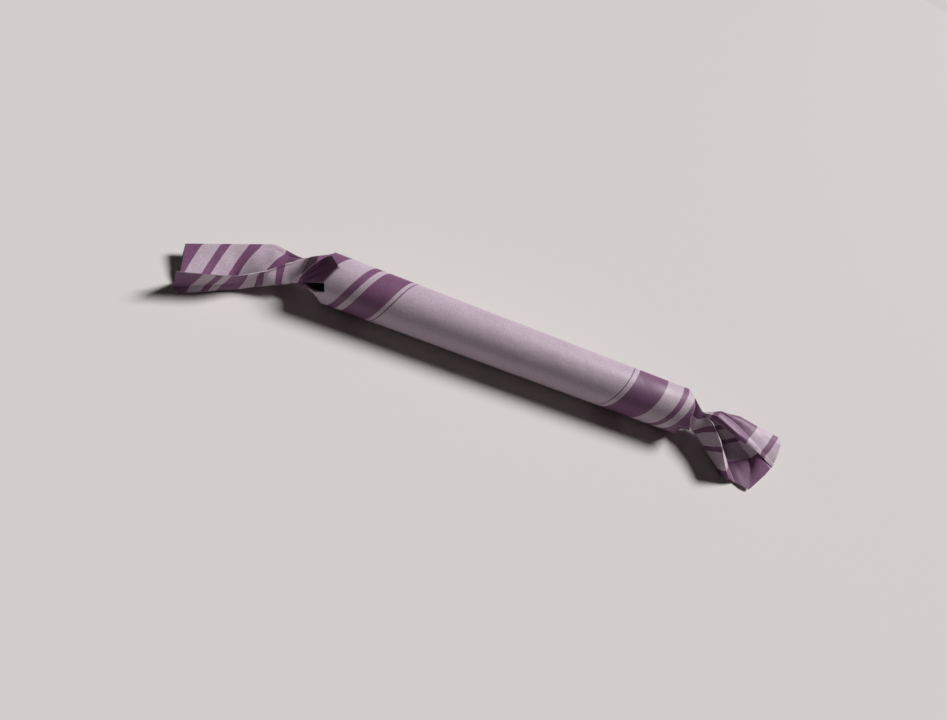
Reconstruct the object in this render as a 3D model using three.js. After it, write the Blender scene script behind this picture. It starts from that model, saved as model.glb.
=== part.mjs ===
// A stick of hard candy rolled in waxed paper, with both ends of the paper twisted and pressed flat.
// Millimetres, +Z up. The stick runs along X, and the flattened paper ends swing to the -Y side.
// The origin is on the table, under the middle of the whole wrapped stick.
//
// The wrapping is one closed skin. Round the stick it is a cylinder. Past each shoulder it follows
// creases. Each crease leaves the stick's surface at its own angle, at a rim that lies a little way
// past the shoulder, or before it where that is negative. From there it runs outward through the
// stations below. The paper lies flat between two neighbouring creases.

import * as THREE from 'three';

// Driving sizes
const STICK_RADIUS = 9;
const SHOULDER = 70; // from the middle of the stick to each shoulder
const STRAIGHT = 62; // half the length over which the skin is a plain cylinder
const REST_FLAT = 3; // width of the flat that the stick rests on
const FACET_ANGLE = 8; // degrees between facets round the stick
const RINGS_PER_SPAN = 3; // rings of facets from one station to the next
const CREASE_TENSION = 0.4; // 0 turns sharply at each station, 1 turns most softly
const EARLY_RIM = 4; // paper that leaves the stick this far before the shoulder bends fully softly
const LEAST_ANGLE = 1; // degrees: closer facet edges than this are merged

// Stations of a twisted end, as distances outward from the shoulder
const STATIONS = ['shoulder', 'neck', 'turn', 'cross', 'fan', 'mouth'];
const LEFT_STATIONS = { shoulder: 4, neck: 9, turn: 14, cross: 20, fan: 26, mouth: 40 };
const RIGHT_STATIONS = { shoulder: 4.5, neck: 8, turn: 13, cross: 20, fan: 30, mouth: 38 };

// A crease's points are [outward, across, up]: outward from the shoulder, across along +Y, and up
// from the table. Stations that a crease doesn't name lie evenly between those that it names.
function crease(distances, points) {
  const named = STATIONS.filter((station) => station in points);
  return STATIONS.map((station) => {
    const distance = distances[station];
    let next = named.findIndex((name) => distances[name] >= distance);
    next = Math.max(next, 1);
    const before = named[next - 1];
    const after = named[next];
    const share = (distance - distances[before]) / (distances[after] - distances[before]);
    const start = new THREE.Vector3(...points[before]);
    return start.lerp(new THREE.Vector3(...points[after]), share);
  });
}

// A crease that lies at a share of the way from one crease to another, moved by the same push. The
// share is one number, or a list of one number for each station.
function between(one, other, share, push = [0, 0, 0]) {
  const offset = new THREE.Vector3(...push);
  const shares = Array.isArray(share) ? share : STATIONS.map(() => share);
  return one.map((point, i) => point.clone().lerp(other[i], shares[i]).add(offset));
}

// A crease beside another, at an offset that is scaled by one factor for each station
function beside(one, offset, factors = [1, 1, 1, 1, 1, 1]) {
  const push = new THREE.Vector3(...offset);
  return one.map((point, i) => point.clone().addScaledVector(push, factors[i]));
}

// A crease with its first points, at the shoulder and the neck, put elsewhere
function startingAt(one, ...starts) {
  return one.map((point, i) => (i < starts.length ? new THREE.Vector3(...starts[i]) : point));
}

// The left end: the paper is gathered into a neck, turns over once, and fans out into a wide back
// panel behind a narrow front wall. The front wall's hem overhangs a tuck beside the shoulder.
function leftCreases() {
  const lip = crease(LEFT_STATIONS, {
    shoulder: [3.5, -5, 10],
    neck: [6.5, -4.6, 7.4],
    turn: [12, -6.5, 6.5],
    cross: [19, -9, 4.2],
    fan: [26, -11.5, 1.5],
    mouth: [40.5, -20, 0],
  });
  const hem = crease(LEFT_STATIONS, {
    shoulder: [5, -1.5, 16.6],
    neck: [7.9, -4.3, 11.8],
    turn: [11, -7, 7.5],
    cross: [16.5, -9, 6],
    fan: [25, -12, 2],
    mouth: [39.5, -20.5, 0.5],
  });
  const ridge = crease(LEFT_STATIONS, {
    shoulder: [5.5, 1, 16.5],
    neck: [9.5, 0.5, 13],
    turn: [13.5, -3, 11],
    cross: [18.5, -7.5, 9],
    fan: [25, -12, 4.5],
    mouth: [41.5, -20, 2],
  });
  const crest = crease(LEFT_STATIONS, {
    shoulder: [6, 2, 15],
    neck: [10, 0.5, 12.5],
    turn: [14, -3, 12],
    cross: [18.5, -8, 10.5],
    fan: [25.5, -15, 11],
    mouth: [40, -21, 11],
  });
  const valley = crease(LEFT_STATIONS, {
    shoulder: [7, 4.5, 11],
    neck: [11, 1, 11],
    turn: [15.5, -3, 8.5],
    cross: [20.5, -6.5, 6.5],
    fan: [28, -9, 2],
    mouth: [41.7, -16.5, 2.1],
  });
  const edge = crease(LEFT_STATIONS, {
    shoulder: [7.5, 7, 8],
    neck: [11.7, 5, 8.15],
    cross: [22.5, 7.5, 7],
    fan: [33, 2.5, 6],
    mouth: [46.7, -4.5, 5],
  });
  const foot = beside(hem, [0, 2, -2.5], [1, 0.85, 0.35, 0.2, 0.1, 0]);
  const under = beside(edge, [0, -1.3, -3.5]);
  const strip = startingAt(beside(edge, [-1, -2, 0.1]), [7.5, 6, 10], [11.2, 3.5, 9.3]);
  const lowered = [0, 0, 1, 1.2, 0.7, 0.5];
  const trailing = [0, 0, 0, 0, 1, 1];
  const skirtLine = beside(beside(lip, [0, 0.3, -1], lowered), [0.5, 1.2, 0], trailing);
  const skirt = startingAt(skirtLine, [2, -8.5, 8.5], [6, -5.2, 7.2]);
  const coneLine = beside(beside(lip, [0, 0.2, -0.5], lowered), [0.3, 0.8, 0], trailing);
  const cone = startingAt(coneLine, [2.3, -8.5, 9.6], [6.2, -5.3, 7.8]);
  const pocketLine = beside(cone, [0.2, 0.6, -0.3], [1, 1, 1, 0.5, -0.5, -0.5]);
  const pocket = startingAt(pocketLine, [0.5, -3.2, 5.4], [6.5, -3.4, 5.6]);
  const cornerLine = beside(lip, [0.2, 0.6, -0.3], [1, 1, 1, 0.5, 0.4, 0.4]);
  const corner = startingAt(cornerLine, [1, -1.8, 8], [6.8, -2.6, 6.6]);
  return [
    { angle: 36, rim: 0, points: lip },
    { angle: 76, rim: -2.5, points: between(lip, foot, 0.45) },
    { angle: 104, rim: 1.8, points: between(lip, foot, 0.8) },
    { angle: 128, rim: 1.5, points: foot },
    { angle: 132, rim: 1.5, points: hem },
    { angle: 152, rim: 1.5, points: ridge },
    { angle: 172, rim: 1.5, points: crest },
    { angle: 198, rim: 1, points: valley },
    { angle: 223, rim: 0.5, points: strip },
    { angle: 248, rim: 0.5, points: edge },
    { angle: 283, rim: 0, points: under },
    { angle: 306, rim: -0.5, points: between(under, skirt, 0.33, [0, 0, -1.5]) },
    { angle: 326, rim: -0.5, points: between(under, skirt, 0.66, [0, 0, -3]) },
    { angle: 345, rim: -0.5, points: skirt },
    { angle: 376, rim: -1.4, points: cone },
    { angle: 378, rim: -1.3, points: pocket },
    { angle: 394, rim: -0.2, points: corner },
  ];
}

// The right end: a narrow ribbon crosses the neck to the front, and behind it a raised panel fans
// out over a deep valley, which flattens on the table at the mouth.
function rightCreases() {
  const front = crease(RIGHT_STATIONS, {
    shoulder: [4, -2, 10],
    neck: [5.3, -5.5, 7.6],
    turn: [9, -6.7, 5.9],
    cross: [14.5, -9.5, 3],
    mouth: [22, -15.5, 0],
  });
  const ridge = crease(RIGHT_STATIONS, {
    shoulder: [4, 3, 14.5],
    neck: [8, -0.5, 12.5],
    turn: [11.5, -4, 13],
    cross: [15.1, -10, 11.1],
    fan: [17, -17.5, 9],
    mouth: [22.9, -18, 2.9],
  });
  const valley = crease(RIGHT_STATIONS, {
    shoulder: [5.5, 3.5, 12],
    neck: [10.5, 2, 9.3],
    turn: [15.4, 0, 8.3],
    cross: [22.4, -3.6, 2.8],
    fan: [25, -11.4, 1.5],
    mouth: [26.9, -16.9, 1],
  });
  const sheet = crease(RIGHT_STATIONS, {
    shoulder: [7.1, 4.3, 11.5],
    neck: [10.8, 2.3, 9.7],
    turn: [17, 0.8, 10.8],
    cross: [26.8, -2, 7],
    fan: [33.4, -6.9, 5.2],
    mouth: [33, -18.2, 1.3],
  });
  const crest = crease(RIGHT_STATIONS, {
    shoulder: [6.5, 3, 10.5],
    neck: [9, 0, 12.7],
    turn: [13.5, -0.6, 14.2],
    cross: [23, -3.8, 12.6],
    fan: [33.5, -4.4, 10.2],
    mouth: [43.5, -7, 5.5],
  });
  const edge = crease(RIGHT_STATIONS, {
    shoulder: [8, 2.5, 7],
    neck: [11, 2.5, 9.8],
    turn: [17, 4, 12],
    cross: [27, 6, 11.5],
    fan: [37.5, 5, 10.5],
    mouth: [48.5, 5, 9],
  });
  const crown = beside(between(crest, edge, 0.7), [0, 0, 1.2], [0, 0, 1, 1, 1, 1]);
  const rolled = between(crest, crown, [0.3, 0.6, 0.93, 0.62, 0.05, 0.1]);
  const pleat = beside(rolled, [0, 0, -0.8], [0, 0, 0.3, 1, 0.3, 0]);
  const hanging = beside(crest, [0, -1.1, -1.9], [0.3, 0.7, 1, 0.85, 0.3, 0.2]);
  const band = beside(hanging, [0, -1.5, -0.3], [0, 0, 0, 0, 1, 0.2]);
  const inner = beside(band, [0.3, 1.3, 0.2], [0.3, 0.7, 1, 0.85, 0.7, 0.3]);
  const under = startingAt(beside(edge, [2, 1, -4.5]), [9, 1.5, 4.5]);
  return [
    { angle: 70, rim: 0.6, points: front },
    { angle: 132, rim: 0.2, points: ridge },
    { angle: 146, rim: 0, points: valley },
    { angle: 160, rim: 0, points: sheet },
    { angle: 165, rim: 0.2, points: inner },
    { angle: 168, rim: 0.3, points: band },
    { angle: 174, rim: 0.5, points: crest },
    { angle: 184, rim: 0.5, points: pleat },
    { angle: 204, rim: 1, points: crown },
    { angle: 233, rim: 1.5, points: edge },
    { angle: 273, rim: 1.5, points: under },
    { angle: 316, rim: 0, points: between(under, front, 0.4, [0, 0, -3]) },
    { angle: 362, rim: -2, points: between(under, front, 0.7, [0, 0, -1.5]) },
    { angle: 370, rim: 2, points: between(under, front, 0.8, [0, 0, -1.5]) },
    { angle: 398, rim: 0, points: between(under, front, 0.9, [0, 0, -0.7]) },
  ];
}

// The creases on either side of an angle, and how far it lies from the first to the second
function neighbours(creases, angle) {
  const first = creases[0].angle;
  const turned = first + THREE.MathUtils.euclideanModulo(angle - first, 360);
  let here = creases.length - 1;
  while (creases[here].angle > turned) {
    here -= 1;
  }
  const next = (here + 1) % creases.length;
  const nextAngle = next === 0 ? first + 360 : creases[next].angle;
  const share = (turned - creases[here].angle) / (nextAngle - creases[here].angle);
  return { one: creases[here], other: creases[next], share };
}

// A point on the stick's round surface. Angles go from the front (-Y) over the top to the back.
function onStick(distance, angle) {
  const radians = THREE.MathUtils.degToRad(angle);
  const across = -STICK_RADIUS * Math.cos(radians);
  return new THREE.Vector3(distance, across, STICK_RADIUS * (1 + Math.sin(radians)));
}

// The line that the skin follows at one angle, from the straight part of the stick to the mouth. Each
// point says how softly the line bends there: sharply at the rim, unless the paper leaves it early.
function skinLine(creases, angle) {
  const { one, other, share } = neighbours(creases, angle);
  const rim = THREE.MathUtils.lerp(one.rim, other.rim, share);
  const rimSoftness = THREE.MathUtils.clamp(-rim / EARLY_RIM, 0, 1) * CREASE_TENSION;
  const line = [
    { place: onStick(STRAIGHT - SHOULDER, angle), softness: 0 },
    { place: onStick(rim, angle), softness: rimSoftness },
  ];
  STATIONS.forEach((station, i) => {
    const place = one.points[i].clone().lerp(other.points[i], share);
    line.push({ place, softness: CREASE_TENSION });
  });
  return line;
}

// A curve through the points of a line, as points at even steps of each span
function smoothed(line) {
  const points = [];
  for (let i = 0; i < line.length - 1; i += 1) {
    const [start, end] = [line[i].place, line[i + 1].place];
    const before = line[Math.max(i - 1, 0)].place;
    const after = line[Math.min(i + 2, line.length - 1)].place;
    const startSlope = end.clone().sub(before).multiplyScalar(line[i].softness / 2);
    const endSlope = after.clone().sub(start).multiplyScalar(line[i + 1].softness / 2);
    for (let step = 0; step < RINGS_PER_SPAN; step += 1) {
      const t = step / RINGS_PER_SPAN;
      const point = start.clone().multiplyScalar(2 * t ** 3 - 3 * t ** 2 + 1);
      point.addScaledVector(startSlope, t ** 3 - 2 * t ** 2 + t);
      point.addScaledVector(end, 3 * t ** 2 - 2 * t ** 3);
      point.addScaledVector(endSlope, t ** 3 - t ** 2);
      points.push(point);
    }
  }
  points.push(line[line.length - 1].place.clone());
  return points;
}

// Angles of the facet edges: every crease of both ends, the two edges of the flat that the stick
// rests on, and even steps where none of these is near
function facetAngles(...ends) {
  const angles = ends.flat().map((one) => THREE.MathUtils.euclideanModulo(one.angle, 360));
  const flatAngle = THREE.MathUtils.radToDeg(Math.asin(REST_FLAT / 2 / STICK_RADIUS));
  angles.push(270 - flatAngle, 270 + flatAngle);
  for (let angle = 0; angle < 360; angle += FACET_ANGLE) {
    if (angles.every((other) => Math.abs(other - angle) >= FACET_ANGLE / 3)) {
      angles.push(angle);
    }
  }
  angles.sort((a, b) => a - b);
  return angles.filter((angle, i) => i === 0 || angle - angles[i - 1] >= LEAST_ANGLE);
}

// Triangles that close a flattened mouth: a strip between its upper and its lower side, which always
// steps on to the nearer next point
function mouthStrip(points, upper, lower) {
  const triangles = [];
  let i = 0;
  let j = 0;
  while (i < upper.length - 1 || j < lower.length - 1) {
    const nextUpper = i < upper.length - 1 ? points[upper[i + 1]].distanceTo(points[lower[j]]) : Infinity;
    const nextLower = j < lower.length - 1 ? points[lower[j + 1]].distanceTo(points[upper[i]]) : Infinity;
    if (nextUpper <= nextLower) {
      triangles.push([upper[i], upper[i + 1], lower[j]]);
      i += 1;
    } else {
      triangles.push([upper[i], lower[j + 1], lower[j]]);
      j += 1;
    }
  }
  return triangles.filter(([a, b, c]) => a !== b && b !== c && c !== a);
}

// The two sides of a ring of points, both from the place of one angle to the place of another
function ringSides(angles, offset, from, to) {
  const count = angles.length;
  const start = angles.indexOf(from);
  const end = angles.indexOf(to);
  const upper = [];
  for (let i = start; i !== end; i = (i + 1) % count) {
    upper.push(offset + i);
  }
  upper.push(offset + end);
  const lower = [];
  for (let i = start; i !== end; i = (i - 1 + count) % count) {
    lower.push(offset + i);
  }
  lower.push(offset + end);
  return { upper, lower };
}

// The points of one end, ring by ring, with the end placed at its side of the stick: -1 left, 1 right
function ringsOf(lines, side) {
  const rings = lines[0].map((_, ring) => lines.map((line) => line[ring].clone()));
  const points = rings.flat();
  points.forEach((point) => {
    point.x = side * (SHOULDER + point.x);
  });
  return points;
}

function wrappedStickGeometry() {
  const left = leftCreases();
  const right = rightCreases();
  const angles = facetAngles(left, right);
  const count = angles.length;

  // Rings of points from the left mouth to the right mouth
  const leftLines = angles.map((angle) => smoothed(skinLine(left, angle)).reverse());
  const rightLines = angles.map((angle) => smoothed(skinLine(right, angle)));
  const ringsPerEnd = leftLines[0].length;
  const points = [...ringsOf(leftLines, -1), ...ringsOf(rightLines, 1)];

  // The stick rests on a narrow flat, and the paper ends rest level with it
  const flatHeight = STICK_RADIUS - Math.sqrt(STICK_RADIUS ** 2 - (REST_FLAT / 2) ** 2);
  points.forEach((point) => {
    point.z = Math.max(point.z, flatHeight) - flatHeight;
  });

  const triangles = [];
  for (let ring = 0; ring < 2 * ringsPerEnd - 1; ring += 1) {
    for (let i = 0; i < count; i += 1) {
      const [a, b] = [ring * count + i, ring * count + (i + 1) % count];
      const [c, d] = [a + count, b + count];
      triangles.push([a, c, d], [a, d, b]);
    }
  }
  const lastRing = (2 * ringsPerEnd - 1) * count;
  const leftMouth = ringSides(angles, 0, 132, 248);
  const rightMouth = ringSides(angles, lastRing, 70, 233);
  triangles.push(...mouthStrip(points, leftMouth.upper, leftMouth.lower));
  const closing = mouthStrip(points, rightMouth.upper, rightMouth.lower);
  triangles.push(...closing.map(([a, b, c]) => [a, c, b]));

  const geometry = new THREE.BufferGeometry();
  geometry.setFromPoints(points);
  geometry.setIndex(triangles.flat());
  geometry.computeBoundingBox();
  const middle = geometry.boundingBox.getCenter(new THREE.Vector3());
  geometry.translate(-middle.x, -middle.y, 0);
  geometry.computeVertexNormals();
  return geometry;
}

const waxedPaper = new THREE.MeshStandardMaterial({ color: 0xb9aabe, roughness: 0.45, metalness: 0 });
const wrappedStick = new THREE.Mesh(wrappedStickGeometry(), waxedPaper);
wrappedStick.name = 'wrapped_stick';

const candy = new THREE.Group();
candy.add(wrappedStick);

export default candy;
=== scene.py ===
"""A hard candy stick in twisted, striped paper, on a pale table.

The paper is one surface: a cylinder round the stick and, past each shoulder, folds that run along
creases. Each crease leaves the stick at its own angle and rim, and passes through the stations below.
Angles are in degrees, from 0 at the stick's front, over its top, to 180 at its back. Points of a
crease are [outward from the shoulder, across, up], in millimetres.
"""

import math

import bpy
import numpy as np
from mathutils import Matrix, Vector


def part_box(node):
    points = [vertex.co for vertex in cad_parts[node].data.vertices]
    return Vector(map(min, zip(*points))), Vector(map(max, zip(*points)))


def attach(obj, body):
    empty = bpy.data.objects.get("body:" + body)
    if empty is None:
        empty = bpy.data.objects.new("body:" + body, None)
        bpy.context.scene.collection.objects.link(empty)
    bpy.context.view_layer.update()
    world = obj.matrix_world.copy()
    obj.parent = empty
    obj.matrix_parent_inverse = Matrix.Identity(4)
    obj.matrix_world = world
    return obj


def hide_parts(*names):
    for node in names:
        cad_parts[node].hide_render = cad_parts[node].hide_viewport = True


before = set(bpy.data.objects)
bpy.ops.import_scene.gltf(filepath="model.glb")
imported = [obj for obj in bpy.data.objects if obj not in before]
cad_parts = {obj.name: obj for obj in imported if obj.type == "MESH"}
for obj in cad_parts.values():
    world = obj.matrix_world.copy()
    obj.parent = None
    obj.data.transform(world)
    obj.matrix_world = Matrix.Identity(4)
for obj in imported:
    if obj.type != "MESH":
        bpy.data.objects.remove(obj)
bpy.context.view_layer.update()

NODE = "wrapped_stick"
MM = 0.001

# ---------------------------------------------------------------- sizes of the model, in millimetres

STICK_RADIUS = 9.0
SHOULDER = 70.0  # from the middle of the stick to each shoulder
STRAIGHT = 62.0  # half the length over which the paper is a plain cylinder
REST_FLAT = 3.0  # width of the flat that the stick rests on
CREASE_TENSION = 0.4  # 0 turns sharply at each station, 1 turns most softly
EARLY_RIM = 4.0  # paper that leaves the stick this far before the shoulder bends fully softly

# Stations of a twisted end, as distances outward from the shoulder
STATIONS = ("shoulder", "neck", "turn", "cross", "fan", "mouth")
LEFT_STATIONS = dict(shoulder=4, neck=9, turn=14, cross=20, fan=26, mouth=40)
RIGHT_STATIONS = dict(shoulder=4.5, neck=8, turn=13, cross=20, fan=30, mouth=38)

# How far out from the shoulder each station lies on the flat paper
LEFT_PAPER = (5.5, 12, 18.5, 26, 36, 53)
RIGHT_PAPER = (7.5, 14, 21.3, 30.8, 40.8, 51.3)

# How much further out the paper has slid along a crease, at each station
HELD = (0, 0, 0, 0, 0, 0)
LEFT_LIP_SLIP = (0, 0, 0.2, 0.2, -0.5, -0.8)
LEFT_RIDGE_SLIP = (0, 0, -0.7, -0.7, 0, 0)
LEFT_CREST_SLIP = (0, 0, -1, -1, 0.5, -0.5)
LEFT_PANEL_SLIP = (0, 0, 4, 4, 1.5, -1)
LEFT_EDGE_SLIP = (0, 0, 3.4, 3.4, 1.2, -3)
LEFT_CONE_SLIP = (-5, -9, -9, -6, -3, 0)
RIGHT_FRONT_SLIP = (0, 0, 0, 0, 0, -2.5)
RIGHT_RIDGE_SLIP = (0, -1, -4, -4, 0, 2)
RIGHT_VALLEY_SLIP = (0, 0, -1, 6.5, 11, 10)
RIGHT_PANEL_SLIP = (1, 5, 17, 14, 14, 14)


def crease(distances, **points):
    """A crease's points at all stations. Those that aren't named lie evenly between their neighbours."""
    named = [station for station in STATIONS if station in points]
    known = [distances[station] for station in named]
    wanted = [distances[station] for station in STATIONS]
    axes = [[points[station][axis] for station in named] for axis in range(3)]
    return np.array([np.interp(wanted, known, values) for values in axes]).T


def between(one, other, share, push=(0, 0, 0)):
    """A crease at a share of the way from one to another, and pushed aside. The share is one number,
    or one for each station."""
    shares = np.broadcast_to(share, len(one))[:, None]
    return one + (other - one) * shares + np.array(push, float)


def beside(one, offset, factors=(1, 1, 1, 1, 1, 1)):
    """A crease beside another, at an offset that is scaled by one factor for each station."""
    return one + np.outer(factors, offset)


def starting_at(one, *starts):
    """A crease with its first points, at the shoulder and the neck, put elsewhere."""
    return np.vstack([np.array(starts, float), one[len(starts):]])


def left_creases():
    """(angle, rim, slip of the paper, points) of each crease of the left end. The rim is how far past
    the shoulder the paper leaves the stick."""
    lip = crease(LEFT_STATIONS, shoulder=(3.5, -5, 10), neck=(6.5, -4.6, 7.4), turn=(12, -6.5, 6.5),
                 cross=(19, -9, 4.2), fan=(26, -11.5, 1.5), mouth=(40.5, -20, 0))
    hem = crease(LEFT_STATIONS, shoulder=(5, -1.5, 16.6), neck=(7.9, -4.3, 11.8), turn=(11, -7, 7.5),
                 cross=(16.5, -9, 6), fan=(25, -12, 2), mouth=(39.5, -20.5, 0.5))
    ridge = crease(LEFT_STATIONS, shoulder=(5.5, 1, 16.5), neck=(9.5, 0.5, 13), turn=(13.5, -3, 11),
                   cross=(18.5, -7.5, 9), fan=(25, -12, 4.5), mouth=(41.5, -20, 2))
    crest = crease(LEFT_STATIONS, shoulder=(6, 2, 15), neck=(10, 0.5, 12.5), turn=(14, -3, 12),
                   cross=(18.5, -8, 10.5), fan=(25.5, -15, 11), mouth=(40, -21, 11))
    valley = crease(LEFT_STATIONS, shoulder=(7, 4.5, 11), neck=(11, 1, 11), turn=(15.5, -3, 8.5),
                    cross=(20.5, -6.5, 6.5), fan=(28, -9, 2), mouth=(41.7, -16.5, 2.1))
    edge = crease(LEFT_STATIONS, shoulder=(7.5, 7, 8), neck=(11.7, 5, 8.15), cross=(22.5, 7.5, 7),
                  fan=(33, 2.5, 6), mouth=(46.7, -4.5, 5))
    foot = beside(hem, (0, 2, -2.5), (1, 0.85, 0.35, 0.2, 0.1, 0))
    under = beside(edge, (0, -1.3, -3.5))
    strip = starting_at(beside(edge, (-1, -2, 0.1)), (7.5, 6, 10), (11.2, 3.5, 9.3))
    lowered, trailing = (0, 0, 1, 1.2, 0.7, 0.5), (0, 0, 0, 0, 1, 1)
    skirt = beside(beside(lip, (0, 0.3, -1), lowered), (0.5, 1.2, 0), trailing)
    skirt = starting_at(skirt, (2, -8.5, 8.5), (6, -5.2, 7.2))
    cone = beside(beside(lip, (0, 0.2, -0.5), lowered), (0.3, 0.8, 0), trailing)
    cone = starting_at(cone, (2.3, -8.5, 9.6), (6.2, -5.3, 7.8))
    pocket = beside(cone, (0.2, 0.6, -0.3), (1, 1, 1, 0.5, -0.5, -0.5))
    pocket = starting_at(pocket, (0.5, -3.2, 5.4), (6.5, -3.4, 5.6))
    corner = beside(lip, (0.2, 0.6, -0.3), (1, 1, 1, 0.5, 0.4, 0.4))
    corner = starting_at(corner, (1, -1.8, 8), (6.8, -2.6, 6.6))
    return [
        (36, 0, LEFT_LIP_SLIP, lip),
        (76, -2.5, LEFT_LIP_SLIP, between(lip, foot, 0.45)),
        (104, 1.8, LEFT_LIP_SLIP, between(lip, foot, 0.8)),
        (128, 1.5, LEFT_LIP_SLIP, foot),
        (132, 1.5, LEFT_LIP_SLIP, hem),
        (152, 1.5, LEFT_RIDGE_SLIP, ridge),
        (172, 1.5, LEFT_CREST_SLIP, crest),
        (172.5, 1.5, LEFT_PANEL_SLIP, between(crest, valley, 0.02)),
        (198, 1, LEFT_PANEL_SLIP, valley),
        (223, 0.5, LEFT_EDGE_SLIP, strip),
        (248, 0.5, LEFT_EDGE_SLIP, edge),
        (283, 0, LEFT_EDGE_SLIP, under),
        (306, -0.5, LEFT_CONE_SLIP, between(under, skirt, 0.33, (0, 0, -1.5))),
        (326, -0.5, LEFT_CONE_SLIP, between(under, skirt, 0.66, (0, 0, -3))),
        (345, -0.5, LEFT_CONE_SLIP, skirt),
        (376, -1.4, LEFT_CONE_SLIP, cone),
        (378, -1.3, LEFT_CONE_SLIP, pocket),
        (394, -0.2, LEFT_LIP_SLIP, corner),
    ]


def right_creases():
    """(angle, rim, slip of the paper, points) of each crease of the right end."""
    front = crease(RIGHT_STATIONS, shoulder=(4, -2, 10), neck=(5.3, -5.5, 7.6), turn=(9, -6.7, 5.9),
                   cross=(14.5, -9.5, 3), mouth=(22, -15.5, 0))
    ridge = crease(RIGHT_STATIONS, shoulder=(4, 3, 14.5), neck=(8, -0.5, 12.5), turn=(11.5, -4, 13),
                   cross=(15.1, -10, 11.1), fan=(17, -17.5, 9), mouth=(22.9, -18, 2.9))
    valley = crease(RIGHT_STATIONS, shoulder=(5.5, 3.5, 12), neck=(10.5, 2, 9.3), turn=(15.4, 0, 8.3),
                    cross=(22.4, -3.6, 2.8), fan=(25, -11.4, 1.5), mouth=(26.9, -16.9, 1))
    sheet = crease(RIGHT_STATIONS, shoulder=(7.1, 4.3, 11.5), neck=(10.8, 2.3, 9.7), turn=(17, 0.8, 10.8),
                   cross=(26.8, -2, 7), fan=(33.4, -6.9, 5.2), mouth=(33, -18.2, 1.3))
    crest = crease(RIGHT_STATIONS, shoulder=(6.5, 3, 10.5), neck=(9, 0, 12.7), turn=(13.5, -0.6, 14.2),
                   cross=(23, -3.8, 12.6), fan=(33.5, -4.4, 10.2), mouth=(43.5, -7, 5.5))
    edge = crease(RIGHT_STATIONS, shoulder=(8, 2.5, 7), neck=(11, 2.5, 9.8), turn=(17, 4, 12),
                  cross=(27, 6, 11.5), fan=(37.5, 5, 10.5), mouth=(48.5, 5, 9))
    crown = beside(between(crest, edge, 0.7), (0, 0, 1.2), (0, 0, 1, 1, 1, 1))
    pleat = between(crest, crown, (0.3, 0.6, 0.93, 0.62, 0.05, 0.1))
    pleat = beside(pleat, (0, 0, -0.8), (0, 0, 0.3, 1, 0.3, 0))
    band = beside(crest, (0, -1.1, -1.9), (0.3, 0.7, 1, 0.85, 0.3, 0.2))
    band = beside(band, (0, -1.5, -0.3), (0, 0, 0, 0, 1, 0.2))
    inner = beside(band, (0.3, 1.3, 0.2), (0.3, 0.7, 1, 0.85, 0.7, 0.3))
    under = starting_at(beside(edge, (2, 1, -4.5)), (9, 1.5, 4.5))
    return [
        (70, 0.6, RIGHT_FRONT_SLIP, front),
        (132, 0.2, RIGHT_RIDGE_SLIP, ridge),
        (146, 0, RIGHT_VALLEY_SLIP, valley),
        (160, 0, RIGHT_VALLEY_SLIP, sheet),
        (165, 0.2, RIGHT_VALLEY_SLIP, inner),
        (168, 0.3, RIGHT_VALLEY_SLIP, band),
        (168.3, 0.3, RIGHT_PANEL_SLIP, between(band, crest, 0.05)),
        (174, 0.5, RIGHT_PANEL_SLIP, crest),
        (184, 0.5, RIGHT_PANEL_SLIP, pleat),
        (204, 1, RIGHT_PANEL_SLIP, crown),
        (233, 1.5, RIGHT_PANEL_SLIP, edge),
        (273, 1.5, RIGHT_PANEL_SLIP, under),
        (316, 0, HELD, between(under, front, 0.4, (0, 0, -3))),
        (362, -2, HELD, between(under, front, 0.7, (0, 0, -1.5))),
        (370, 2, HELD, between(under, front, 0.8, (0, 0, -1.5))),
        (398, 0, RIGHT_FRONT_SLIP, between(under, front, 0.9, (0, 0, -0.7))),
    ]


# ---------------------------------------------------------------- the print on the paper

# The print's two coordinates on the flat paper, in millimetres: along the stick from its middle, and
# round it from the side at FACING_ANGLE. A stripe lies where along - LEAN * round is the same, and the
# print starts again where the paper's edge overlaps it, at PAPER_EDGE.
LEAN = 0.432
FACING_ANGLE = 48.0
PAPER_EDGE = 33.75
PAPER_TURN = 2 * math.pi * STICK_RADIUS

# The round coordinate at each station on one crease of each end, from which the paper is measured
# round, and that crease's angle
LEFT_TURN = (23.4, 27, 30.6, 32.4, 33.75, 33.75)
RIGHT_TURN = (27, 33.75, 33.75, 33.75, 33.75, 33.75)
LEFT_SEAM = 172
RIGHT_SEAM = 168

# Where the colour changes between dark and light, as along - LEAN * round, going outward from the
# middle of the stick
LEFT_EDGES = (-48.4, -57.1, -59.3, -62.1, -70.9, -91.1, -101.9, -105.1, -109.5, -111.8,
              -116.3, -121.9, -124.4, -126.4, -129.8)
RIGHT_EDGES = (42.8, 55.5, 62.2, 64.8, 67.7, 75.7, 80.8, 84.2, 92.7, 96.3, 108.7, 129,
               136.5, 139.3)

# The stretches that these changes lie in, and the thin dark line nearer the middle on each side, in
# the same measure
LEFT_RANGE = (-131.0, -47.5)
RIGHT_RANGE = (42.0, 141.0)
THIN_LINES = (-46.5, 40.95)
THIN_LINE_WIDTH = 0.45

# ---------------------------------------------------------------- the paper's surface

# Columns of the surface's grid lie at these steps beside each crease, and at every FINE_ANGLE between
# them, in degrees, unless a crease or another column is nearer than a share of the step
CREASE_STEPS = (0.6, 1.8)
CLEAR_OF_CREASE = 0.9
FINE_ANGLE = 3.0
CLEAR_OF_COLUMN = 0.4

RINGS_PER_SPAN = 10  # rings of the grid from one station to the next
BODY_RINGS = 40
PAPER_THICKNESS = 0.15
INSIDE_RINGS = 22  # rings from the mouth inward that also have an inner side
LEAST_LENGTH = 1e-9

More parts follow.
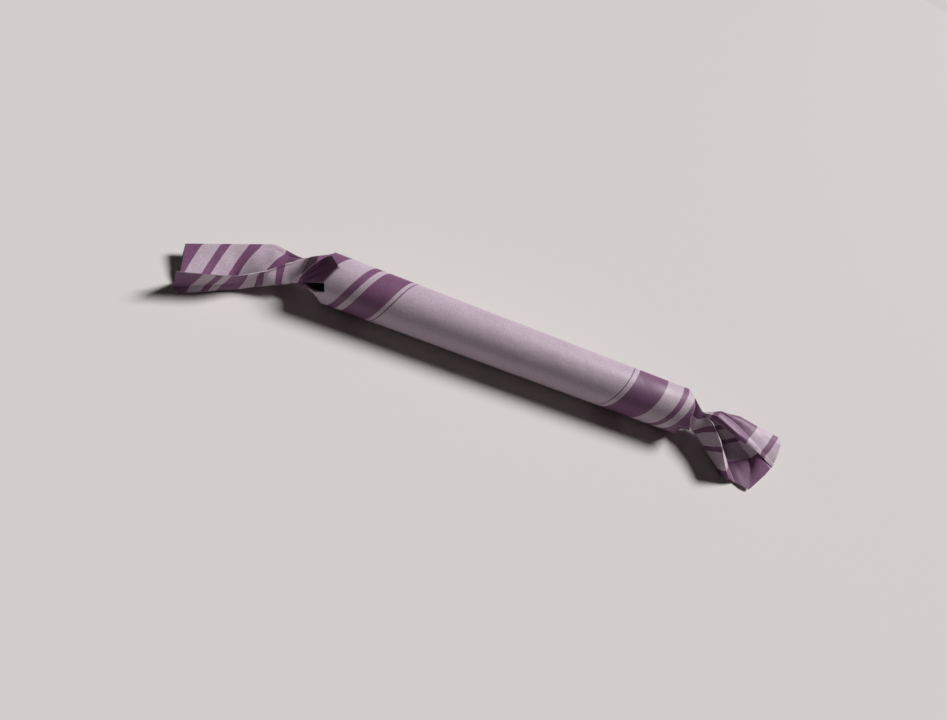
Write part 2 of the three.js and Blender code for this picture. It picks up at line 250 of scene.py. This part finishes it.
# How far a panel bulges between its creases, as a share of its width, and how deep the ripples in it
# are. Each wave of the ripples is (strength, change of phase over each millimetre, start).
BULGE = 0.035
RIPPLE = 0.3
WAVES = (
    (1.0, (0.34, 0.52, 0.21), 0.0),
    (0.8, (-0.63, 0.35, 0.74), 1.7),
    (0.6, (0.95, -0.81, 0.46), 0.6),
    (0.4, (1.54, 1.22, -0.93), 2.9),
)

# Angles of a fold, in radians, from which its print is lightened and at which it is lightened fully,
# partly as wear and partly as a painted highlight along the fold
WORN_AND_HIGHLIT_FROM = 0.35
WORN_AND_HIGHLIT_FULLY = 1.3


def unit(vectors):
    """The directions of a grid of vectors."""
    return vectors / np.maximum(np.linalg.norm(vectors, axis=2, keepdims=True), LEAST_LENGTH)


def hermite(line, softness, steps):
    """Rows on a curve through the rows of line, at even steps of each span. Where the softness of a
    row is 0, the curve turns sharply in it."""
    rows = []
    for i in range(len(line) - 1):
        start, end = line[i], line[i + 1]
        start_slope = (end - line[max(i - 1, 0)]) * softness[i] / 2
        end_slope = (line[min(i + 2, len(line) - 1)] - start) * softness[i + 1] / 2
        for t in np.arange(steps) / steps:
            rows.append(start * (2 * t**3 - 3 * t**2 + 1) + start_slope * (t**3 - 2 * t**2 + t)
                        + end * (3 * t**2 - 2 * t**3) + end_slope * (t**3 - t**2))
    rows.append(line[-1])
    return np.array(rows)


def bend_softness(rim):
    """How softly each column bends in each row: sharply where the straight part ends, and at the rim
    too, unless the paper leaves the stick early."""
    soft = np.full((len(STATIONS) + 2, len(rim)), CREASE_TENSION)
    soft[0] = 0
    soft[1] *= np.clip(-rim / EARLY_RIM, 0, 1)
    return soft


def facet_angles(*ends):
    """Angles of the surface's columns: closely spaced beside each crease, evenly elsewhere."""
    creases = sorted({end_crease[0] % 360 for end in ends for end_crease in end})
    angles = set(creases)
    for angle in creases:
        for step in CREASE_STEPS:
            for beside_it in (angle - step, angle + step):
                if min(abs(beside_it - other) for other in creases) > step * CLEAR_OF_CREASE:
                    angles.add(round(beside_it % 360, 3))
    for angle in np.arange(0, 360, FINE_ANGLE):
        if min(abs(angle - other) for other in angles) > FINE_ANGLE * CLEAR_OF_COLUMN:
            angles.add(float(angle))
    return np.array(sorted(angles), float)


def on_stick(distance, angles):
    """Points of the stick's surface at a distance along it and at each angle round it."""
    radians = np.radians(angles)
    return np.stack([np.broadcast_to(distance, angles.shape), -STICK_RADIUS * np.cos(radians),
                     STICK_RADIUS * (1 + np.sin(radians))], axis=-1)


def control_rows(end, angles):
    """Rows at the end of the straight part, the rim and each station: the surface's points, how far the
    paper has slid, and how far it bulges, which is most midway between two creases."""
    first = end[0][0]
    starts = np.array([one[0] for one in end] + [first + 360], float)
    turned = first + (angles - first) % 360
    here = np.clip(np.searchsorted(starts, turned, side="right") - 1, 0, len(end) - 1)
    there = (here + 1) % len(end)
    share = (turned - starts[here]) / (starts[here + 1] - starts[here])

    def across(values, weight=share):
        """Each column's value, between the values of the two creases that it lies between."""
        return values[here] + (values[there] - values[here]) * weight

    rims = np.array([one[1] for one in end], float)
    slips = np.array([one[2] for one in end], float)
    points = np.array([one[3] for one in end])
    rows = [on_stick(STRAIGHT - SHOULDER, angles), on_stick(across(rims), angles)]
    slipped = [np.zeros(len(angles)), np.zeros(len(angles))]
    bulges = [np.zeros(len(angles)), np.zeros(len(angles))]
    for i in range(len(STATIONS)):
        rows.append(across(points[:, i], share[:, None]))
        slipped.append(across(slips[:, i]))
        width = np.linalg.norm(points[there, i] - points[here, i], axis=1)
        bulges.append((BULGE * width + RIPPLE) * 4 * share * (1 - share))
    return np.array(rows), np.array(slipped), np.array(bulges)


def ripples(points):
    """Uneven waves over the paper, between 0 and 1."""
    total = 0
    for strength, direction, start in WAVES:
        total = total + strength * np.sin(points @ np.array(direction) + start)
    return 0.5 + 0.5 * total / sum(strength for strength, _, _ in WAVES)


def paper_rows(rows, slipped, angles, seam, turns, distances):
    """The order of the columns from the seam's crease on, and the paper's two coordinates at each control
    row, in that order and ending on the seam's crease again, one turn further on."""
    order = np.roll(np.arange(len(angles)), -int(np.argmin(abs(angles - seam))))
    closed = np.append(order, order[0])
    degrees = angles[order] - FACING_ANGLE
    degrees = degrees[0] + (degrees - degrees[0]) % 360
    round_the_stick = np.radians(np.append(degrees, degrees[0] + 360)) * STICK_RADIUS
    along = [np.full(len(closed), STRAIGHT), SHOULDER + rows[1][closed, 0]]
    around = [round_the_stick, round_the_stick]
    for station in range(len(STATIONS)):
        ring = rows[station + 2][closed]
        steps = np.linalg.norm(np.diff(ring, axis=0), axis=1)
        length = np.concatenate([[0], np.cumsum(steps)])
        around.append(turns[station] + length / length[-1] * PAPER_TURN)
        along.append(SHOULDER + distances[station] + slipped[station + 2][closed])
    return order, np.array(along), np.array(around)


def outward_normals(grid):
    """Outward unit normals of the surface at each point of the grid."""
    along = np.gradient(grid, axis=0)
    around = np.roll(grid, -1, axis=1) - np.roll(grid, 1, axis=1)
    return unit(np.cross(along, around))


def build_end(end, angles, side, seam, turns, distances):
    """Rings of one end from the straight part to the mouth: their points, the order of the columns from
    the seam on, and the paper's two coordinates in that order. The side is -1 or 1."""
    rows, slipped, bulges = control_rows(end, angles)
    order, along, around = paper_rows(rows, slipped, angles, seam, turns, distances)
    soft = bend_softness(rows[1, :, 0])
    grid = hermite(rows, soft[..., None], RINGS_PER_SPAN)
    bulge = hermite(bulges, np.zeros_like(soft), RINGS_PER_SPAN) * ripples(grid)
    grid = grid + outward_normals(grid) * bulge[..., None]
    grid[..., 0] = side * (SHOULDER + grid[..., 0])
    soft = soft[:, np.append(order, order[0])]
    along = side * hermite(along, soft, RINGS_PER_SPAN)
    around = hermite(around, soft, RINGS_PER_SPAN)
    return grid, order, along, around


def make_skin():
    """The surface's points, ring by ring from the left mouth to the right one, and for each half of it
    the order of the columns from the seam on and the paper's coordinates in that order."""
    left, right = left_creases(), right_creases()
    angles = facet_angles(left, right)
    left_grid, left_order, left_along, left_around = build_end(
        left, angles, -1, LEFT_SEAM, LEFT_TURN, LEFT_PAPER)
    right_grid, right_order, right_along, right_around = build_end(
        right, angles, 1, RIGHT_SEAM, RIGHT_TURN, RIGHT_PAPER)
    body_x = np.linspace(-STRAIGHT, STRAIGHT, BODY_RINGS + 2)[1:-1]
    body = np.array([on_stick(x, angles) for x in body_x])
    grid = np.concatenate([left_grid[::-1], body, right_grid])
    flat_height = STICK_RADIUS - math.sqrt(STICK_RADIUS**2 - (REST_FLAT / 2) ** 2)
    grid[..., 2] = np.maximum(grid[..., 2], flat_height) - flat_height

    # The two halves share the ring in the middle
    half = len(body_x) // 2
    ones = np.ones(len(angles) + 1)
    left_body, right_body = body_x[:half + 1, None], body_x[half:, None]
    left_paper = np.stack([
        np.concatenate([left_along[::-1], left_body * ones]),
        np.concatenate([left_around[::-1], np.tile(left_around[0], (len(left_body), 1))])], axis=-1)
    right_paper = np.stack([
        np.concatenate([right_body * ones, right_along]),
        np.concatenate([np.tile(right_around[0], (len(right_body), 1)), right_around])], axis=-1)
    return grid, (left_order, left_paper), (right_order, right_paper)


def turning(before, after, normals):
    """Angle between two steps over the surface, positive where the surface is convex."""
    before, after = unit(before), unit(after)
    angle = np.arccos(np.clip((before * after).sum(axis=2), -1, 1))
    return angle * np.sign(((before - after) * normals).sum(axis=2))


def worn_and_highlit_folds(grid, normals):
    """How much the print is lightened at each point, partly as wear and partly as a painted highlight:
    the sharper the convex fold there, the more.
    """
    steps = np.diff(grid, axis=0)
    along = np.zeros(grid.shape[:2])
    along[1:-1] = turning(steps[:-1], steps[1:], normals[1:-1])
    around = turning(grid - np.roll(grid, 1, axis=1), np.roll(grid, -1, axis=1) - grid, normals)
    return np.clip((np.maximum(along, around) - WORN_AND_HIGHLIT_FROM) / (WORN_AND_HIGHLIT_FULLY - WORN_AND_HIGHLIT_FROM), 0, 1)


def skin_faces(grid, left, right):
    """The grid's faces, and the paper's coordinates at the corners of each."""
    rings, count = grid.shape[:2]
    left_order, left_paper = left
    right_order, right_paper = right
    left_place = np.argsort(left_order)
    right_place = np.argsort(right_order)
    middle_ring = len(left_paper) - 1
    faces, uvs = [], []
    for ring in range(rings - 1):
        this, further = ring * count, (ring + 1) * count
        for i in range(count):
            j = (i + 1) % count
            faces.append((this + i, further + i, further + j, this + j))
            if ring < middle_ring:
                place, paper, row = left_place[i], left_paper, ring
            else:
                place, paper, row = right_place[i], right_paper, ring - middle_ring
            uvs.extend([paper[row, place], paper[row + 1, place]])
            uvs.extend([paper[row + 1, place + 1], paper[row, place + 1]])
    return faces, uvs


def inside_rings(grid, normals, rings):
    """Points of the paper's inner side over some rings, kept above the floor, and its faces. The first
    ring is the mouth, where the inner side meets the outer one."""
    count = grid.shape[1]
    points = [grid[rings[0]]] + [grid[ring] - normals[ring] * PAPER_THICKNESS for ring in rings]
    points = np.maximum(points, (-np.inf, -np.inf, 0))
    direction = 1 if rings[0] < rings[-1] else -1
    faces = []
    for ring in range(len(rings)):
        this, further = ring * count, (ring + 1) * count
        for i in range(count):
            j = (i + 1) % count
            face = (this + i, this + j, further + j, further + i)
            faces.append(face[::direction])
    return np.concatenate(points), faces


def add_wrapper(corner):
    """The paper as one piece, and how far it was shifted, in metres, so that its highest x and y are
    those of the corner given."""
    grid, left, right = make_skin()
    normals = outward_normals(grid)
    shift = np.array([corner[0] - grid[..., 0].max() * MM, corner[1] - grid[..., 1].max() * MM, 0.0])
    faces, uvs = skin_faces(grid, left, right)
    points = [grid.reshape(-1, 3)]
    printed = len(faces)
    last = len(grid) - 1
    for rings in (range(INSIDE_RINGS), range(last, last - INSIDE_RINGS, -1)):
        start = sum(len(part) for part in points)
        more_points, more_faces = inside_rings(grid, normals, rings)
        points.append(more_points)
        faces += [tuple(start + index for index in face) for face in more_faces]
    points = np.concatenate(points)
    bare = len(faces) - printed
    uvs += [(0.0, 0.0)] * (4 * bare)

    mesh = bpy.data.meshes.new("paper_wrapper")
    mesh.from_pydata((points * MM + shift).tolist(), [], faces)
    mesh.uv_layers.new(name="paper").data.foreach_set("uv", np.asarray(uvs, np.float32).ravel())
    # Print lightened along sharp convex folds: partly wear, partly a painted highlight
    outside_wear_and_highlight = worn_and_highlit_folds(grid, normals).ravel()
    wear_and_highlight = np.zeros(len(points), np.float32)
    wear_and_highlight[:len(outside_wear_and_highlight)] = outside_wear_and_highlight
    mesh.attributes.new("worn_and_highlit", "FLOAT", "POINT").data.foreach_set("value", wear_and_highlight)
    mesh.polygons.foreach_set("use_smooth", [True] * len(faces))
    mesh.polygons.foreach_set("material_index", [0] * printed + [1] * bare)
    mesh.materials.append(printed_paper())
    mesh.materials.append(bare_paper())
    piece = bpy.data.objects.new("paper_wrapper", mesh)
    bpy.context.collection.objects.link(piece)
    return piece, shift


# ---------------------------------------------------------------- materials

LIGHT_PRINT = (0.53, 0.425, 0.495, 1)
DARK_PRINT = (0.19, 0.08, 0.162, 1)
# The pale colour that sharp convex folds are lightened towards: worn print and a painted highlight
# together
WORN_AND_HIGHLIT_PRINT = (0.80, 0.72, 0.80, 1)
WORN_AND_HIGHLIT_SHARE = 0.5
BARE_PAPER = (0.62, 0.55, 0.57, 1)
FIBRE_COLOUR = (0.9, 0.86, 0.88, 1)

# How fine the noises on the paper are, per millimetre
CLOUD_SCALE = 0.11
CRINKLE_SCALE = 0.22
WEAR_AND_HIGHLIGHT_SCALE = 0.7
BARE_FIBRE_SCALE = 1.1
FIBRE_SCALE = 1.5
NOISE_DETAIL = 3
CRINKLE_DISTORTION = 0.3

# The levels of each noise that count, what it gives at them, and how strongly that shows
CLOUD_LEVELS = (0.3, 0.7)
CLOUD_SHADES = (0.8, 1.1)
CLOUD_SHARE = 0.3
FIBRE_LEVELS = (0.35, 0.65)
FIBRE_SHADES = (0.75, 1.15)
FIBRE_SHARE = 0.5
# The patches in which folds are lightened, as wear and painted highlight together
WEAR_AND_HIGHLIGHT_LEVELS = (0.35, 0.6)
WEAR_AND_HIGHLIGHT_PATCHES = (0.35, 1.0)
BARE_FIBRE_LEVELS = (0.4, 0.7)
BARE_FIBRE_SHARES = (0.0, 0.6)

PAPER_ROUGHNESS = (0.46, 0.64)
PAPER_SPECULAR = 0.4
FIBRE_RELIEF = 0.05  # as a share of the crinkles' relief
BUMP_STRENGTH = 0.35
BUMP_DEPTH = 0.35 * MM


class Nodes:
    """Short ways to add and join shader nodes."""

    def __init__(self, material):
        material.use_nodes = True
        self.tree = material.node_tree
        self.shader = self.tree.nodes["Principled BSDF"]

    def add(self, kind, **values):
        node = self.tree.nodes.new(kind)
        for name, value in values.items():
            setattr(node, name, value)
        return node

    def join(self, source, target):
        self.tree.links.new(source, target)

    def math(self, operation, *terms):
        node = self.add("ShaderNodeMath", operation=operation)
        for i, term in enumerate(terms):
            if isinstance(term, (int, float)):
                node.inputs[i].default_value = term
            else:
                self.join(term, node.inputs[i])
        return node.outputs[0]

    def noise(self, place, scale, distortion=0.0):
        node = self.add("ShaderNodeTexNoise")
        node.inputs["Scale"].default_value = scale
        node.inputs["Detail"].default_value = NOISE_DETAIL
        node.inputs["Distortion"].default_value = distortion
        self.join(place, node.inputs["Vector"])
        return node.outputs["Fac"]

    def spread(self, value, from_low, from_high, to_low, to_high):
        """The value, mapped from one range to another."""
        node = self.add("ShaderNodeMapRange")
        self.join(value, node.inputs["Value"])
        limits = {"From Min": from_low, "From Max": from_high, "To Min": to_low, "To Max": to_high}
        for name, limit in limits.items():
            node.inputs[name].default_value = limit
        return node.outputs["Result"]

    def shade(self, value, from_low, from_high, darkest, lightest):
        """A grey that follows value, for multiplying a colour with."""
        grey = self.add("ShaderNodeCombineColor")
        level = self.spread(value, from_low, from_high, darkest, lightest)
        for channel in grey.inputs:
            self.join(level, channel)
        return grey.outputs[0]

    def blend(self, kind, share, under, over):
        """A mix of two colours, each a colour or the output of a node."""
        node = self.add("ShaderNodeMix", data_type="RGBA", blend_type=kind)
        for socket, value in ((node.inputs[0], share), (node.inputs[6], under), (node.inputs[7], over)):
            if isinstance(value, (float, tuple)):
                socket.default_value = value
            else:
                self.join(value, socket)
        return node.outputs[2]

    def stripes(self, place, edges, low, high, starts_dark):
        """Dark and light in turn along place, between low and high, changing at the edges."""
        ramp = self.add("ShaderNodeValToRGB")
        ramp.color_ramp.interpolation = "CONSTANT"
        self.join(self.spread(place, low, high, 0.0, 1.0), ramp.inputs[0])
        elements = ramp.color_ramp.elements
        elements.remove(elements[-1])
        elements[0].position = 0
        dark = starts_dark
        elements[0].color = DARK_PRINT if dark else LIGHT_PRINT
        for edge in edges:
            dark = not dark
            elements.new((edge - low) / (high - low)).color = DARK_PRINT if dark else LIGHT_PRINT
        return ramp.outputs[0]


def add_paper_grain(nodes, paper, colour):
    """Gives a paper surface its cloudiness, fibres, crinkles and uneven gloss."""
    clouds = nodes.noise(paper, CLOUD_SCALE)
    fibres = nodes.noise(paper, FIBRE_SCALE)
    crinkles = nodes.noise(paper, CRINKLE_SCALE, CRINKLE_DISTORTION)
    cloud_shade = nodes.shade(clouds, *CLOUD_LEVELS, *CLOUD_SHADES)
    fibre_shade = nodes.shade(fibres, *FIBRE_LEVELS, *FIBRE_SHADES)
    cloudy = nodes.blend("MULTIPLY", CLOUD_SHARE, colour, cloud_shade)
    fibrous = nodes.blend("MULTIPLY", FIBRE_SHARE, cloudy, fibre_shade)
    nodes.join(fibrous, nodes.shader.inputs["Base Color"])
    roughness = nodes.spread(clouds, *CLOUD_LEVELS, *PAPER_ROUGHNESS)
    nodes.join(roughness, nodes.shader.inputs["Roughness"])
    nodes.shader.inputs["Specular IOR Level"].default_value = PAPER_SPECULAR
    relief = nodes.math("ADD", crinkles, nodes.math("MULTIPLY", fibres, FIBRE_RELIEF))
    bump = nodes.add("ShaderNodeBump")
    bump.inputs["Strength"].default_value = BUMP_STRENGTH
    bump.inputs["Distance"].default_value = BUMP_DEPTH
    nodes.join(relief, bump.inputs["Height"])
    nodes.join(bump.outputs[0], nodes.shader.inputs["Normal"])


def printed_paper():
    """The striped outer side of the paper, lightened along its sharpest folds partly as wear and partly
    as a painted highlight.
    """
    material = bpy.data.materials.new("printed_waxed_paper")
    nodes = Nodes(material)
    paper = nodes.add("ShaderNodeUVMap", uv_map="paper").outputs[0]
    split = nodes.add("ShaderNodeSeparateXYZ")
    nodes.join(paper, split.inputs[0])
    turn = nodes.math("WRAP", split.outputs["Y"], PAPER_EDGE, PAPER_EDGE - PAPER_TURN)
    place = nodes.math("SUBTRACT", split.outputs["X"], nodes.math("MULTIPLY", turn, LEAN))
    left = nodes.stripes(place, sorted(LEFT_EDGES), *LEFT_RANGE, starts_dark=True)
    right = nodes.stripes(place, sorted(RIGHT_EDGES), *RIGHT_RANGE, starts_dark=False)
    print_colour = nodes.blend("MIX", nodes.math("GREATER_THAN", place, 0.0), left, right)
    for line in THIN_LINES:
        on_line = nodes.math("COMPARE", place, line, THIN_LINE_WIDTH / 2)
        print_colour = nodes.blend("MIX", on_line, print_colour, DARK_PRINT)
    # Lightening along sharp convex folds, in noisy patches: partly wear, partly a painted highlight
    worn_and_highlit = nodes.add("ShaderNodeAttribute", attribute_name="worn_and_highlit").outputs["Fac"]
    patches = nodes.spread(nodes.noise(paper, WEAR_AND_HIGHLIGHT_SCALE), *WEAR_AND_HIGHLIGHT_LEVELS, *WEAR_AND_HIGHLIGHT_PATCHES)
    wear_and_highlight = nodes.math("MULTIPLY", nodes.math("MULTIPLY", worn_and_highlit, patches), WORN_AND_HIGHLIT_SHARE)
    add_paper_grain(nodes, paper, nodes.blend("MIX", wear_and_highlight, print_colour, WORN_AND_HIGHLIT_PRINT))
    return material


def bare_paper():
    """The unprinted inner side of the paper, seen at the mouths of the two ends."""
    material = bpy.data.materials.new("bare_paper")
    nodes = Nodes(material)
    place = nodes.add("ShaderNodeTexCoord").outputs["Object"]
    in_millimetres = nodes.add("ShaderNodeVectorMath", operation="SCALE")
    nodes.join(place, in_millimetres.inputs[0])
    in_millimetres.inputs["Scale"].default_value = 1 / MM
    place = in_millimetres.outputs[0]
    fibres = nodes.noise(place, BARE_FIBRE_SCALE)
    fibres = nodes.spread(fibres, *BARE_FIBRE_LEVELS, *BARE_FIBRE_SHARES)
    add_paper_grain(nodes, place, nodes.blend("MIX", fibres, BARE_PAPER, FIBRE_COLOUR))
    return material


# ---------------------------------------------------------------- the stage

# The picture's size, the camera's focal length and the point that it looks straight at, in pixels
FRAME_WIDTH_PX, FRAME_HEIGHT_PX = 947, 720
CAMERA_FOCAL_PX = 549.32
CAMERA_AIM_PX = (519.23, 250.62)

# Where the camera stands, in millimetres, and which way the picture's right side, its lower side and
# its depth point
CAMERA_PLACE = (-44.3, -133.6, 157.4)
CAMERA_RIGHT = (0.91336, 0.11773, 0.38976)
CAMERA_DOWN = (0.37384, -0.62172, -0.68827)
CAMERA_FORWARD = (0.16129, 0.77434, -0.61186)
SENSOR_MM = 36.0
CLIP_START_M = 0.005

FLOOR_COLOUR = (0.68, 0.655, 0.635, 1)
FLOOR_ROUGHNESS = 0.9
FLOOR_SPECULAR = 0.1
FLOOR_SIDES = 32
FLOOR_RINGS_M = ((20.0, 0.0), (80.0, 4.0))  # (radius, height)

KEY_DIRECTION = (0.6, 0.41, 0.69)
KEY_WIDTH_DEGREES = 20
KEY_STRENGTH = 4.2
KEY_COLOUR = (1.0, 0.98, 1.0)
WORLD_COLOUR = (1.0, 0.92, 0.9, 1)
WORLD_STRENGTH = 0.03


def add_camera(shift):
    """The camera, shifted like the paper."""
    data = bpy.data.cameras.new("camera")
    camera = bpy.data.objects.new("camera", data)
    bpy.context.collection.objects.link(camera)
    axes = (CAMERA_RIGHT, CAMERA_DOWN, CAMERA_FORWARD)
    right, down, forward = (Vector(axis).normalized() for axis in axes)
    turn = Matrix((right, -down, -forward)).transposed()
    place = Vector(CAMERA_PLACE) * MM + Vector(shift)
    camera.matrix_world = Matrix.Translation(place) @ turn.to_4x4()
    data.sensor_width = SENSOR_MM
    data.lens = CAMERA_FOCAL_PX * SENSOR_MM / FRAME_WIDTH_PX
    data.shift_x = (FRAME_WIDTH_PX / 2 - CAMERA_AIM_PX[0]) / FRAME_WIDTH_PX
    data.shift_y = (CAMERA_AIM_PX[1] - FRAME_HEIGHT_PX / 2) / FRAME_WIDTH_PX
    data.clip_start = CLIP_START_M
    bpy.context.scene.camera = camera


def add_floor():
    """A wide floor that is flat round the stick and rises far away, to a little above the horizon."""
    points = [(0.0, 0.0, 0.0)]
    faces = []
    for i in range(FLOOR_SIDES):
        turn = 2 * math.pi * i / FLOOR_SIDES
        for radius, height in FLOOR_RINGS_M:
            points.append((radius * math.cos(turn), radius * math.sin(turn), height))
        this = 1 + len(FLOOR_RINGS_M) * i
        following = 1 + len(FLOOR_RINGS_M) * ((i + 1) % FLOOR_SIDES)
        faces.append((0, this, following))
        faces.append((this, this + 1, following + 1, following))
    mesh = bpy.data.meshes.new("floor")
    mesh.from_pydata(points, [], faces)
    material = bpy.data.materials.new("pale_floor")
    material.use_nodes = True
    shader = material.node_tree.nodes["Principled BSDF"]
    shader.inputs["Base Color"].default_value = FLOOR_COLOUR
    shader.inputs["Roughness"].default_value = FLOOR_ROUGHNESS
    shader.inputs["Specular IOR Level"].default_value = FLOOR_SPECULAR
    mesh.materials.append(material)
    floor = bpy.data.objects.new("floor", mesh)
    bpy.context.collection.objects.link(floor)


def add_sun(name, direction, width_degrees, strength, colour):
    """A sun that shines from the direction given, as wide as the angle given."""
    data = bpy.data.lights.new(name, "SUN")
    data.energy = strength
    data.angle = math.radians(width_degrees)
    data.color = colour
    light = bpy.data.objects.new(name, data)
    bpy.context.collection.objects.link(light)
    light.location = Vector(direction).normalized()
    light.rotation_euler = (-light.location).to_track_quat("-Z", "Y").to_euler()


def add_lights():
    """One wide key light, and a faint even light from all round."""
    add_sun("key", KEY_DIRECTION, KEY_WIDTH_DEGREES, KEY_STRENGTH, KEY_COLOUR)
    world = bpy.data.worlds.new("studio")
    world.use_nodes = True
    background = world.node_tree.nodes["Background"]
    background.inputs["Color"].default_value = WORLD_COLOUR
    background.inputs["Strength"].default_value = WORLD_STRENGTH
    bpy.context.scene.world = world


# ---------------------------------------------------------------- assembly


def main():
    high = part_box(NODE)[1]
    wrapper, shift = add_wrapper((high.x, high.y))
    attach(wrapper, "root")
    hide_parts(NODE)
    add_camera(shift)
    add_floor()
    add_lights()
    bpy.context.scene.view_settings.view_transform = "Standard"


main()
